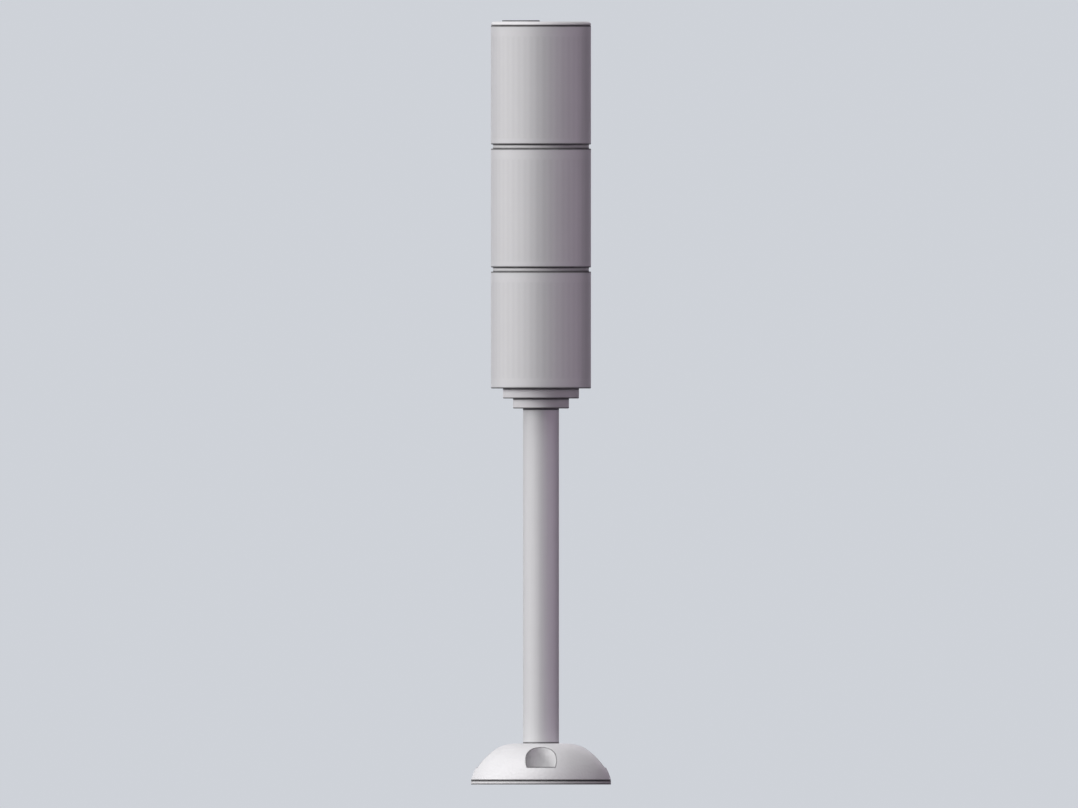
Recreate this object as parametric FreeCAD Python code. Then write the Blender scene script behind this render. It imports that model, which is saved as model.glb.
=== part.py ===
"""Three-tier stack light on a pole with a domed foot, in millimetres, +Z up.

The origin is the centre of the foot's underside. Three lens drums stand on a stepped neck, and each
is a module that plugs into the one below with a three-lug bayonet. Turning a module anticlockwise,
seen from above, by twist_deg frees its lugs, and it then lifts off. The cap closes the top module
with the same bayonet. The neck screws onto a hollow pole, which carries the cable down through the
foot. Angles are in degrees, anticlockwise from +X, and the front of the light faces -Y.
"""

import FreeCAD
import Part

import math
import os

# Foot: a cast dome on a flat gasket
foot_diameter = 70.0
gasket_thickness = 2.0
dome_height = 18.5
dome_top_diameter = 22.0
dome_bulge = 5.5
dome_wall = 2.6
dome_rib_thickness = 2.2
dome_rib_lift = 1.5
boss_wall = 4.4
screw_count = 4
screw_circle_diameter = 57.5
screw_hole_diameter = 5.3
screw_boss_wall = 2.4
pocket_diameter = 15.2
pocket_floor_height = 6.5
pocket_floor_thickness = 2.6
pocket_wall = 2.0
gasket_hole_rim = 0.5

# Pole and what locks it
pole_diameter = 18.0
pole_wall = 1.5
pole_free_length = 167.5
pole_foot_gap = 0.5
pole_end_chamfer = 0.5
nut_wall = 3.0
nut_thickness = 4.5
nut_chamfer_angle = 30.0
nut_room_clearance = 1.0
washer_rim = 3.5
washer_thickness = 1.0

# Neck: two turned steps between the pole and the lowest drum
neck_lower_diameter = 28.0
neck_lower_height = 5.0
neck_upper_diameter = 38.0
neck_upper_height = 5.0
grub_diameter = 3.0
grub_socket_across_flats = 1.5
grub_socket_depth = 1.6
grub_sink = 0.5
grub_angle = 90.0
pole_stop_ledge = 1.0

# Lens drums
lens_diameter = 50.0
lens_wall = 2.0
lower_lens_height = 58.5
lens_height = 59.5
groove_height = 2.0
groove_depth = 1.0
flute_count = 48
flute_valley_depth = 0.2
flute_peak_depth = 0.9
edge_break = 0.3

# Cap, with the raised arrow that shows which way it turns to come off
cap_thickness = 2.0
cap_edge_radius = 1.7
arrow_margin = 1.9
arrow_width = 2.6
arrow_height = 0.6
arrow_edge_radius = 0.2
arrow_start_deg = 184.0
arrow_sweep_deg = 68.0
arrow_head_width = 6.4
arrow_head_deg = 16.0

# Bayonet, the same at all four joints. Depths are measured down from the joint's plane.
plug_diameter = 29.2
plug_wall = 1.7
plug_depth = 2.6
lug_count = 3
lug_reach = 1.5
lug_sweep_deg = 24.0
lug_height = 1.1
lip_height = 1.1
lug_play_above = 0.1
lug_play_below = 0.15
socket_clearance = 0.3
socket_depth = 3.9
notch_clearance_deg = 1.5
twist_deg = 30.0
stop_gap_deg = 1.0
first_lug_deg = 90.0

# Face seal, seated flat in a groove at each joint
seal_land = 0.65
seal_width = 1.3
seal_height = 1.0
seal_side_gap = 0.1
seal_corner_radius = 0.4

# Module insides
carrier_floor = 2.0
spigot_height = 3.0
spigot_wall = 2.4
snap_count = 3
snap_reach = 0.5
snap_height = 0.8
snap_sweep_deg = 14.0
lock_ring_floor = 1.5
lock_ring_web = 1.5
lock_ring_skin = 1.8
lock_ring_collar_wall = 1.8
lock_ring_rib_count = 12
lock_ring_rib_deg = 6.0
wire_hole_diameter = 8.0
fit_gap = 0.05

# Circuit boards and light emitters
driver_board_thickness = 1.2
led_board_count = 4
led_board_pin_gap = 0.6
led_board_thickness = 1.2
led_board_offset = 6.5
led_board_tab_width = 6.0
first_board_deg = -90.0
led_rows = 4
led_width = 5.0
led_thickness = 1.6
led_window_width = 3.8
led_window_depth = 0.3
led_end_margin = 8.0

# Contacts between modules
contact_count = 4
pin_collar_gap = 0.15
pin_diameter = 1.2
pin_collar_diameter = 2.0
pin_collar_height = 0.6
pin_tip_height = 0.4
pin_tip_diameter = 0.5
pin_tail_height = 0.5
pin_pad_gap = 0.05
block_floor = 1.0
block_wall = 0.8
contact_plate_thickness = 0.8
contact_pad_thickness = 0.15
contact_pad_width = 1.8
contact_pad_lead_deg = 10.0

# Radii and heights worked out from the sizes above
foot_radius = foot_diameter / 2
pole_radius = pole_diameter / 2
pole_bore_radius = pole_radius - pole_wall
pole_seat_radius = pole_radius + fit_gap
washer_radius = pole_radius + washer_rim
nut_flat_radius = pole_radius + nut_wall
nut_corner_radius = nut_flat_radius * 2 / math.sqrt(3)
lens_radius = lens_diameter / 2
lens_bore_radius = lens_radius - lens_wall
spigot_radius = lens_bore_radius - fit_gap
spigot_inner_radius = spigot_radius - spigot_wall
plug_radius = plug_diameter / 2
plug_inner_radius = plug_radius - plug_wall
lug_radius = plug_radius + lug_reach
socket_radius = plug_radius + socket_clearance
channel_radius = lug_radius + socket_clearance
lug_top_depth = lip_height + lug_play_above
lug_bottom_depth = lug_top_depth + lug_height
channel_bottom_depth = lug_bottom_depth + lug_play_below
seal_mean_radius = channel_radius + seal_land + seal_width / 2
arrow_radius = lens_radius - cap_edge_radius - arrow_margin - arrow_head_width / 2
groove_radius = lens_radius - groove_depth
wire_hole_radius = wire_hole_diameter / 2
lock_ring_height = socket_depth + lock_ring_floor
block_radius = plug_inner_radius - fit_gap
contact_radius = block_radius - block_wall - pin_collar_gap - pin_collar_diameter / 2
board_to_pin_deg = 180.0 / led_board_count
first_contact_deg = first_board_deg + board_to_pin_deg
pin_side_offset = contact_radius * math.sin(math.radians(board_to_pin_deg))
led_board_width = 2 * (pin_side_offset - pin_diameter / 2 - led_board_pin_gap)
plate_top_depth = socket_depth - contact_plate_thickness
pad_top_depth = plate_top_depth - contact_pad_thickness

dome_bottom = gasket_thickness
dome_top = dome_bottom + dome_height
pocket_floor_level = dome_bottom + pocket_floor_height
washer_top = dome_bottom + pole_foot_gap + nut_thickness + washer_thickness + fit_gap
pole_bottom = dome_bottom + pole_foot_gap
neck_bottom = dome_top + pole_free_length
neck_step = neck_bottom + neck_lower_height
neck_top = neck_step + neck_upper_height
lower_top = neck_top + lower_lens_height
middle_top = lower_top + groove_height + lens_height
upper_top = middle_top + groove_height + lens_height

past = 1.0  # how far a cutting tool runs past the face it cuts
shortest_line = 1e-6  # two corners nearer than this are the same corner

axis_z = FreeCAD.Vector(0, 0, 1)
origin = FreeCAD.Vector(0, 0, 0)


def turned(profile):
    """A solid of revolution about Z from a closed outline of (radius, height) corners."""
    corners = [FreeCAD.Vector(radius, 0, height) for radius, height in profile]
    outline = Part.makePolygon(corners + corners[:1])
    return Part.Face(outline).revolve(origin, axis_z, 360)


def disc(radius, low, high):
    """A round plate between two heights."""
    return Part.makeCylinder(radius, high - low, FreeCAD.Vector(0, 0, low))


def ring(inner_radius, outer_radius, low, high):
    """A flat ring between two heights."""
    return turned([(inner_radius, low), (outer_radius, low), (outer_radius, high), (inner_radius, high)])


def ring_sector(inner_radius, outer_radius, low, high, start_deg, sweep_deg):
    """The part of a ring between two directions."""
    base = FreeCAD.Vector(0, 0, low)
    wedge = Part.makeCylinder(outer_radius, high - low, base, axis_z, sweep_deg)
    core = disc(inner_radius, low - past, high + past)
    return turned_to(wedge.cut(core), start_deg)


def turned_to(shape, angle_deg):
    """A copy of a shape, turned about Z."""
    copy = shape.copy()
    copy.rotate(origin, axis_z, angle_deg)
    return copy


def around(shape, count, start_deg=0.0):
    """Copies of a shape, spaced evenly about Z."""
    return [turned_to(shape, start_deg + 360.0 * k / count) for k in range(count)]


def rod(radius, x, low, high):
    """An upright round bar or hole tool at a distance x from the axis."""
    return Part.makeCylinder(radius, high - low, FreeCAD.Vector(x, 0, low))


def block(x_low, x_high, width, low, high):
    """A box between two distances from the axis, centred across the X axis."""
    corner = FreeCAD.Vector(x_low, -width / 2, low)
    return Part.makeBox(x_high - x_low, width, high - low, corner)


def export(node, shapes):
    """Writes one node as a file of one or more separate solids."""
    solids = [solid for shape in shapes for solid in shape.removeSplitter().Solids]
    whole = solids[0] if len(solids) == 1 else Part.makeCompound(solids)
    whole.exportStep(os.path.join("parts", node + ".step"))


# Bayonet


def bayonet_socket(top):
    """The hollow that takes a plug: a bore, an entry notch for each lug and a channel under the lip."""
    bore = disc(socket_radius, top - socket_depth, top + past)
    notch_sweep = lug_sweep_deg + 2 * notch_clearance_deg
    notch_start = twist_deg - notch_sweep / 2
    channel_low = top - channel_bottom_depth
    notch = ring_sector(
        plug_inner_radius, channel_radius, channel_low, top + past, notch_start, notch_sweep
    )
    channel_start = -lug_sweep_deg / 2 - stop_gap_deg
    channel_sweep = notch_start + notch_sweep - channel_start
    lip_underside = top - lip_height
    channel = ring_sector(
        plug_inner_radius, channel_radius, channel_low, lip_underside, channel_start, channel_sweep
    )
    return bore.fuse(around(notch.fuse(channel), lug_count, first_lug_deg))


def bayonet_plug(joint):
    """The skirt and its lugs, which hang below a module's floor or the cap."""
    skirt = ring(plug_inner_radius, plug_radius, joint - plug_depth, joint)
    root = (plug_inner_radius + plug_radius) / 2
    lug = ring_sector(
        root, lug_radius, joint - lug_bottom_depth, joint - lug_top_depth, -lug_sweep_deg / 2, lug_sweep_deg
    )
    return skirt.fuse(around(lug, lug_count, first_lug_deg))


def seal_groove(joint):
    """The groove in the upper piece that holds the face seal."""
    half = seal_width / 2 + seal_side_gap
    return ring(seal_mean_radius - half, seal_mean_radius + half, joint - past, joint + seal_height)


def seal(joint):
    """The face seal as it sits when squeezed: flat on both faces, round at its corners."""
    half = seal_width / 2
    body = ring(seal_mean_radius - half, seal_mean_radius + half, joint, joint + seal_height)
    return body.makeFillet(seal_corner_radius, body.Edges)


# Foot


def dome_outline(inset):
    """The dome's curved edge in the XZ plane, moved inwards by inset, from the rim to the crown."""
    rim = FreeCAD.Vector(foot_radius, 0, dome_bottom)
    crown = FreeCAD.Vector(dome_top_diameter / 2, 0, dome_top)
    chord = crown - rim
    outwards = FreeCAD.Vector(chord.z, 0, -chord.x).normalize()
    shoulder = (rim + crown) / 2 + outwards * dome_bulge
    circle = Part.Arc(rim, shoulder, crown).toShape().Curve
    centre, radius = circle.Center, circle.Radius - inset
    low_x = centre.x + math.sqrt(radius**2 - (dome_bottom - centre.z) ** 2)
    high_x = dome_top_diameter / 2
    high_z = centre.z + math.sqrt(radius**2 - (high_x - centre.x) ** 2)
    diagonal = math.radians(45.0)
    low = FreeCAD.Vector(low_x, 0, dome_bottom)
    middle = FreeCAD.Vector(
        centre.x + radius * math.cos(diagonal), 0, centre.z + radius * math.sin(diagonal)
    )
    high = FreeCAD.Vector(high_x, 0, high_z)
    return Part.Arc(low, middle, high).toShape(), low, high


def dome_solid(inset):
    """The dome as a full body under its curved edge, moved inwards by inset."""
    arc, low, high = dome_outline(inset)
    axis_top = FreeCAD.Vector(0, 0, high.z)
    axis_bottom = FreeCAD.Vector(0, 0, dome_bottom)
    edges = [
        arc,
        Part.makeLine(high, axis_top),
        Part.makeLine(axis_top, axis_bottom),
        Part.makeLine(axis_bottom, low),
    ]
    return Part.Face(Part.Wire(edges)).revolve(origin, axis_z, 360)


def base_dome():
    """The cast dome: a shell with a threaded centre boss, four screw pockets and stiffening ribs."""
    outer = dome_solid(0.0)
    hollow = dome_solid(dome_wall)
    boss_radius = pole_seat_radius + boss_wall
    screw_circle_radius = screw_circle_diameter / 2
    pocket_radius = pocket_diameter / 2
    column_radius = pocket_radius + pocket_wall
    screw_boss_radius = screw_hole_diameter / 2 + screw_boss_wall
    floor_underside = pocket_floor_level - pocket_floor_thickness

    column = rod(column_radius, screw_circle_radius, dome_bottom, dome_top)
    under_floor = rod(pocket_radius, screw_circle_radius, dome_bottom - past, floor_underside)
    screw_boss = rod(screw_boss_radius, screw_circle_radius, dome_bottom, floor_underside + past)
    column = column.cut(under_floor).fuse(screw_boss)

    half_rib = dome_rib_thickness / 2
    rib_low = dome_bottom + dome_rib_lift
    rib = block(boss_radius - half_rib, foot_radius, dome_rib_thickness, rib_low, dome_top)
    short_rib = block(
        boss_radius - half_rib,
        screw_circle_radius - pocket_radius - pocket_wall / 2,
        dome_rib_thickness,
        rib_low,
        dome_top,
    )

    inside = disc(boss_radius, washer_top, dome_top)
    half_turn = 180.0 / screw_count
    inside = inside.multiFuse(
        around(column, screw_count)
        + around(rib, screw_count, half_turn)
        + around(short_rib, screw_count)
    )
    room_radius = max(nut_corner_radius, washer_radius) + nut_room_clearance
    nut_room = disc(room_radius, dome_bottom - past, washer_top)
    inside = inside.cut(nut_room).common(hollow)
    body = outer.cut(hollow).fuse(inside)

    pocket = rod(pocket_radius, screw_circle_radius, pocket_floor_level, dome_top + past)
    hole = rod(screw_hole_diameter / 2, screw_circle_radius, dome_bottom - past, dome_top)
    pole_seat = disc(pole_seat_radius, dome_bottom - past, dome_top + past)
    rim_break = turned([
        (foot_radius - edge_break, dome_bottom),
        (foot_radius + past, dome_bottom),
        (foot_radius + past, dome_bottom + edge_break + past),
    ])
    tools = [pole_seat, rim_break] + around(pocket.fuse(hole), screw_count)
    return body.cut(tools)


def base_gasket():
    """The flat gasket under the dome, with the cable hole and the screw holes."""
    body = ring(pole_bore_radius + gasket_hole_rim, foot_radius, 0.0, gasket_thickness)
    hole = rod(screw_hole_diameter / 2, screw_circle_diameter / 2, -past, gasket_thickness + past)
    return body.cut(around(hole, screw_count))


def lock_nut():
    """The thin nut that jams the pole's lower thread, chamfered on its corners."""
    low = pole_bottom + fit_gap
    high = low + nut_thickness
    corner = FreeCAD.Vector(nut_corner_radius, 0, low)
    hexagon = [turned_vector(corner, 60.0 * k) for k in range(7)]
    body = Part.Face(Part.makePolygon(hexagon)).extrude(FreeCAD.Vector(0, 0, high - low))
    drop = (nut_corner_radius - nut_flat_radius) * math.tan(math.radians(nut_chamfer_angle))
    envelope = turned([
        (0, low),
        (nut_flat_radius, low),
        (nut_corner_radius, low + drop),
        (nut_corner_radius, high - drop),
        (nut_flat_radius, high),
        (0, high),
    ])
    return body.common(envelope).cut(disc(pole_seat_radius, low - past, high + past))


def turned_vector(vector, angle_deg):
    """A point turned about Z."""
    return FreeCAD.Rotation(axis_z, angle_deg).multVec(vector)


def lock_washer():
    """The plain washer between the nut and the boss."""
    return ring(pole_seat_radius, washer_radius, washer_top - washer_thickness, washer_top)


# Pole and neck


def pole():
    """The hollow pole, chamfered at both ends."""
    low, high, chamfer = pole_bottom, neck_step, pole_end_chamfer
    return turned([
        (pole_bore_radius, low),
        (pole_radius - chamfer, low),
        (pole_radius, low + chamfer),
        (pole_radius, high - chamfer),
        (pole_radius - chamfer, high),
        (pole_bore_radius, high),
    ])


def neck_housing():
    """The two-step neck: its lower bore ends at a ledge on the pole, its upper end is a bayonet socket."""
    lower, upper, step = neck_lower_diameter / 2, neck_upper_diameter / 2, edge_break
    wire_way = pole_bore_radius - pole_stop_ledge
    body = turned([
        (pole_seat_radius, neck_bottom),
        (lower - step, neck_bottom),
        (lower, neck_bottom + step),
        (lower, neck_step),
        (upper - step, neck_step),
        (upper, neck_step + step),
        (upper, neck_top),
        (wire_way, neck_top),
        (wire_way, neck_step),
        (pole_seat_radius, neck_step),
    ])
    grub_hole = radial_rod(grub_diameter / 2, 0.0, lower + past)
    return body.cut([bayonet_socket(neck_top), grub_hole])


def radial_rod(radius, start, end):
    """A round bar or hole tool that points outwards, level with the middle of the neck's lower step."""
    level = neck_bottom + neck_lower_height / 2
    bar = Part.makeCylinder(radius, end - start, FreeCAD.Vector(start, 0, level), FreeCAD.Vector(1, 0, 0))
    return turned_to(bar, grub_angle)


def grub_screw():
    """The set screw that holds the neck on the pole, with a hexagon socket."""
    tip = pole_radius + fit_gap
    head = neck_lower_diameter / 2 - grub_sink
    body = radial_rod(grub_diameter / 2 - fit_gap, tip, head)
    level = neck_bottom + neck_lower_height / 2
    key_corner_radius = grub_socket_across_flats / math.sqrt(3)
    corners = []
    for k in range(7):
        angle = math.radians(60.0 * k)
        corners.append(
            FreeCAD.Vector(
                head - grub_socket_depth,
                key_corner_radius * math.cos(angle),
                level + key_corner_radius * math.sin(angle),
            )
        )
    hexagon = Part.Face(Part.makePolygon(corners))
    socket = hexagon.extrude(FreeCAD.Vector(grub_socket_depth + past, 0, 0))
    return body.cut(turned_to(socket, grub_angle))


# Modules


def lens(low, high, flutes_low):
    """One drum: a tube whose bore carries upright prismatic flutes between its two seats."""
    flutes_high = high - lock_ring_height
    tube = turned([
        (lens_bore_radius, low),
        (lens_radius - edge_break, low),
        (lens_radius, low + edge_break),
        (lens_radius, high - edge_break),
        (lens_radius - edge_break, high),
        (lens_bore_radius, high),
    ])
    corners = []
    for k in range(2 * flute_count):
        depth = flute_valley_depth if k % 2 == 0 else flute_peak_depth
        corner = FreeCAD.Vector(lens_bore_radius - depth, 0, flutes_low)
        corners.append(turned_vector(corner, 180.0 * k / flute_count))
    star = Part.Face(Part.makePolygon(corners + corners[:1]))
    light_space = star.extrude(FreeCAD.Vector(0, 0, flutes_high - flutes_low))
    sleeve = disc(lens_bore_radius, flutes_low, flutes_high).cut(light_space)
    return tube.fuse(sleeve)


def carrier(joint, lens_low):
    """The module's moulded floor: plug below, a spigot that centres the lens, and holes for the pins."""
    floor_top = joint + carrier_floor
    spigot_top = floor_top + spigot_height
    body = disc(spigot_radius, joint, floor_top)
    body = body.fuse(ring(spigot_inner_radius, spigot_radius, joint, spigot_top))
    if lens_low > joint:
        body = body.fuse(disc(groove_radius, joint, lens_low))
    snap_low = floor_top + driver_board_thickness
    snap = ring_sector(
        spigot_inner_radius - snap_reach,
        spigot_inner_radius + snap_reach,
        snap_low,
        snap_low + snap_height,
        -snap_sweep_deg / 2,
        snap_sweep_deg,
    )
    body = body.fuse([bayonet_plug(joint)] + around(snap, snap_count, first_board_deg))
    wire_hole = disc(wire_hole_radius, joint - past, spigot_top)
    pin_hole = rod(pin_diameter / 2 + fit_gap, contact_radius, joint - past, spigot_top)
    tools = [wire_hole, seal_groove(joint)] + around(pin_hole, contact_count, first_contact_deg)
    return body.cut(tools)


def board_tab_slot(low, high):
    """The slot that takes a light board's tab."""
    return block(
        led_board_offset - fit_gap,
        led_board_offset + led_board_thickness + fit_gap,
        led_board_tab_width + 2 * fit_gap,
        low,
        high,
    )


def driver_board(joint):
    """The round board on the floor, which the pins' tails and the light boards' tabs pass into."""
    low = joint + carrier_floor
    high = low + driver_board_thickness
    body = ring(wire_hole_radius, spigot_inner_radius - fit_gap, low, high)
    pin_hole = rod(pin_diameter / 2 + fit_gap, contact_radius, low - past, high + past)
    slots = around(board_tab_slot(low - past, high + past), led_board_count, first_board_deg)
    return body.cut(slots + around(pin_hole, contact_count, first_contact_deg))


def led_board(joint, top):
    """One upright light board, with a tab at each end."""
    low = joint + carrier_floor + driver_board_thickness
    high = top - lock_ring_height
    outer = led_board_offset + led_board_thickness
    body = block(led_board_offset, outer, led_board_width, low, high)
    tab_low = low - driver_board_thickness
    tab_high = top - plate_top_depth
    tab = block(led_board_offset, outer, led_board_tab_width, tab_low, tab_high)
    return body.fuse(tab)


def board_leds(joint, top):
    """The column of light emitters on one board."""
    low = joint + carrier_floor + driver_board_thickness + led_end_margin
    high = top - lock_ring_height - led_end_margin
    face = led_board_offset + led_board_thickness
    pitch = (high - low) / (led_rows - 1)
    leds = []
    for row in range(led_rows):
        middle = low + row * pitch
        half, half_window = led_width / 2, led_window_width / 2
        front = face + led_thickness
        package = block(face, front, led_width, middle - half, middle + half)
        window = block(
            front - led_window_depth,
            front + past,
            led_window_width,
            middle - half_window,
            middle + half_window,
        )
        leds.append(package.cut(window))
    return leds


def contact_block(joint):
    """The insulating cup inside the plug, which the pins pass through."""
    low, floor_high = joint - plug_depth, joint - plug_depth + block_floor
    body = turned([
        (wire_hole_radius, low),
        (block_radius, low),
        (block_radius, joint),
        (block_radius - block_wall, joint),
        (block_radius - block_wall, floor_high),
        (wire_hole_radius, floor_high),
    ])
    pin_hole = rod(pin_diameter / 2 + fit_gap, contact_radius, low - past, floor_high + past)
    return body.cut(around(pin_hole, contact_count, first_contact_deg))


def contact_pin(joint):
    """One pin: a blunt tip that meets the pad below, a collar on the block, a tail to the driver board."""
    tip = joint - pad_top_depth + pin_pad_gap
    collar_low = joint - plug_depth + block_floor
    tail_high = joint + carrier_floor + driver_board_thickness + pin_tail_height
    shaft, collar = pin_diameter / 2, pin_collar_diameter / 2
    pin = turned([
        (0, tip),
        (pin_tip_diameter / 2, tip),
        (shaft, tip + pin_tip_height),
        (shaft, collar_low),
        (collar, collar_low),
        (collar, collar_low + pin_collar_height),
        (shaft, collar_low + pin_collar_height),
        (shaft, tail_high),
        (0, tail_high),
    ])
    pin.translate(FreeCAD.Vector(contact_radius, 0, 0))
    return pin


def lock_ring(top):
    """The ring in the head of a drum: a bayonet socket, cored out from below between radial ribs."""
    low = top - lock_ring_height
    body = disc(spigot_radius, low, top)
    pocket_inner = channel_radius + lock_ring_collar_wall
    pocket_outer = spigot_radius - lock_ring_skin
    pitch = 360.0 / lock_ring_rib_count
    pocket = ring_sector(
        pocket_inner, pocket_outer, low - past, top - lock_ring_web, 0.0, pitch - lock_ring_rib_deg
    )
    slot = board_tab_slot(low - past, top)
    wire_hole = disc(wire_hole_radius, low - past, top)
    tools = [bayonet_socket(top), wire_hole]
    tools += around(pocket, lock_ring_rib_count)
    tools += around(slot, led_board_count, first_board_deg)
    return body.cut(tools)


def contact_plate(top, with_slots):
    """The round board on a socket's floor that carries the contact pads."""
    low, high = top - socket_depth, top - plate_top_depth
    body = ring(wire_hole_radius, socket_radius - 2 * fit_gap, low, high)
    if not with_slots:
        return body
    return body.cut(around(board_tab_slot(low - past, high + past), led_board_count, first_board_deg))


def contact_pads(top):
    """The pads that the pins above slide on, one long enough for each pin's whole turn."""
    half = contact_pad_width / 2
    pad = ring_sector(
        contact_radius - half,
        contact_radius + half,
        top - plate_top_depth,
        top - pad_top_depth,
        -contact_pad_lead_deg,
        twist_deg + 2 * contact_pad_lead_deg,
    )
    return around(pad, contact_count, first_contact_deg)


def module(name, joint, lens_low, top):
    """Writes every piece of one drum, from its plug at joint to the socket in its head at top."""
    flutes_low = joint + carrier_floor + spigot_height
    leds = [
        copy
        for led in board_leds(joint, top)
        for copy in around(led, led_board_count, first_board_deg)
    ]
    export(name + "_lens", [lens(lens_low, top, flutes_low)])
    export(name + "_carrier", [carrier(joint, lens_low)])
    export(name + "_seal", [seal(joint)])
    export(name + "_contact_block", [contact_block(joint)])
    export(name + "_contact_pins", around(contact_pin(joint), contact_count, first_contact_deg))
    export(name + "_driver_board", [driver_board(joint)])
    export(name + "_led_boards", around(led_board(joint, top), led_board_count, first_board_deg))
    export(name + "_leds", leds)
    export(name + "_lock_ring", [lock_ring(top)])
    export(name + "_contact_plate", [contact_plate(top, True)])
    export(name + "_contact_pads", contact_pads(top))


# Cap


def release_arrow(level):
    """The raised curved arrow on the cap, which points the way the cap turns to come off."""
    half = arrow_width / 2
    low, high = level - arrow_height, level + arrow_height
    band = ring_sector(
        arrow_radius - half, arrow_radius + half, low, high, arrow_start_deg, arrow_sweep_deg
    )
    half_head = arrow_head_width / 2
    neck_deg = arrow_start_deg + arrow_sweep_deg
    outer = turned_vector(FreeCAD.Vector(arrow_radius + half_head, 0, low), neck_deg)
    inner = turned_vector(FreeCAD.Vector(arrow_radius - half_head, 0, low), neck_deg)
    tip = turned_vector(FreeCAD.Vector(arrow_radius, 0, low), neck_deg + arrow_head_deg)
    head = Part.Face(Part.makePolygon([outer, tip, inner, outer]))
    arrow = band.fuse(head.extrude(FreeCAD.Vector(0, 0, high - low))).removeSplitter()
    top_edges = [edge for edge in arrow.Edges if edge.BoundBox.ZMin > high - arrow_edge_radius / 2]
    return arrow.makeFillet(arrow_edge_radius, top_edges)


def top_cap():
    """The cap: a flat lid with a rounded edge, closed onto the top drum by its own bayonet plug."""
    low, high = upper_top, upper_top + cap_thickness
    radius, edge = lens_radius, cap_edge_radius
    diagonal = edge * math.sqrt(0.5)
    edge_start = FreeCAD.Vector(radius, 0, high - edge)
    edge_middle = FreeCAD.Vector(radius - edge + diagonal, 0, high - edge + diagonal)
    edge_end = FreeCAD.Vector(radius - edge, 0, high)
    corners = [
        edge_end,
        FreeCAD.Vector(0, 0, high),
        FreeCAD.Vector(0, 0, low),
        FreeCAD.Vector(radius - edge_break, 0, low),
        FreeCAD.Vector(radius, 0, low + edge_break),
        edge_start,
    ]
    edges = [Part.Arc(edge_start, edge_middle, edge_end).toShape()]
    for start, end in zip(corners, corners[1:]):
        if (end - start).Length > shortest_line:
            edges.append(Part.makeLine(start, end))
    lid = Part.Face(Part.Wire(edges)).revolve(origin, axis_z, 360)
    return lid.fuse([bayonet_plug(low), release_arrow(high)]).cut(seal_groove(low))


def main():
    os.makedirs("parts", exist_ok=True)
    export("base_gasket", [base_gasket()])
    export("base_dome", [base_dome()])
    export("lock_nut", [lock_nut()])
    export("lock_washer", [lock_washer()])
    export("pole", [pole()])
    export("neck_housing", [neck_housing()])
    export("grub_screw", [grub_screw()])
    export("neck_contact_plate", [contact_plate(neck_top, False)])
    export("neck_contact_pads", contact_pads(neck_top))
    module("lower", neck_top, neck_top, lower_top)
    module("middle", lower_top, lower_top + groove_height, middle_top)
    module("upper", middle_top, middle_top + groove_height, upper_top)
    export("top_cap", [top_cap()])
    export("cap_seal", [seal(upper_top)])


main()
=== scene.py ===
"""Finishes, studio and camera for a three-tier stack light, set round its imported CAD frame.

Everything is in metres in the CAD's own frame: +Z is up, the light's front faces -Y and it stands
on z = 0. Every shape on the light is the CAD's own, so this file only dresses it. The heights that
a finish needs, such as those of the seams, are read from the CAD pieces.
"""

from __future__ import annotations

import logging
import math
from dataclasses import dataclass, field
from enum import Enum
from functools import reduce
from typing import Any, Iterable, Mapping, Optional, Sequence, Tuple, Union

import bpy
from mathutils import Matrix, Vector

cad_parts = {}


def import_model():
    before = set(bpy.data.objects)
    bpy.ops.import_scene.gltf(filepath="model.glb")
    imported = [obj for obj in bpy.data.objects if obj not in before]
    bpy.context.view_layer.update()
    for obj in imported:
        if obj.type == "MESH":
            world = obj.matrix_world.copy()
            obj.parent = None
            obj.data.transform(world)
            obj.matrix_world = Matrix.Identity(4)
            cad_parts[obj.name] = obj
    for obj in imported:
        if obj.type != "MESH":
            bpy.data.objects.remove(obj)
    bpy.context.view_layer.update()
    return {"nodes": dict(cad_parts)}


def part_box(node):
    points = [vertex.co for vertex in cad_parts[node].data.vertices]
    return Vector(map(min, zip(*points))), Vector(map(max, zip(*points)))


LOG = logging.getLogger("stack_light")

RGB = Tuple[float, float, float]
MM = 0.001


class Octaves(Enum):
    """How much finer detail a noise carries."""

    SOME = 3.0
    MANY = 6.0


# Shader maths


class Link:
    """An output socket of a node tree, with the tree that it belongs to."""

    def __init__(self, graph: NodeGraph, socket: bpy.types.NodeSocket) -> None:
        """Keeps the tree that new nodes go to and the socket that this value comes from."""
        self.graph = graph
        self.socket = socket


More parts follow.
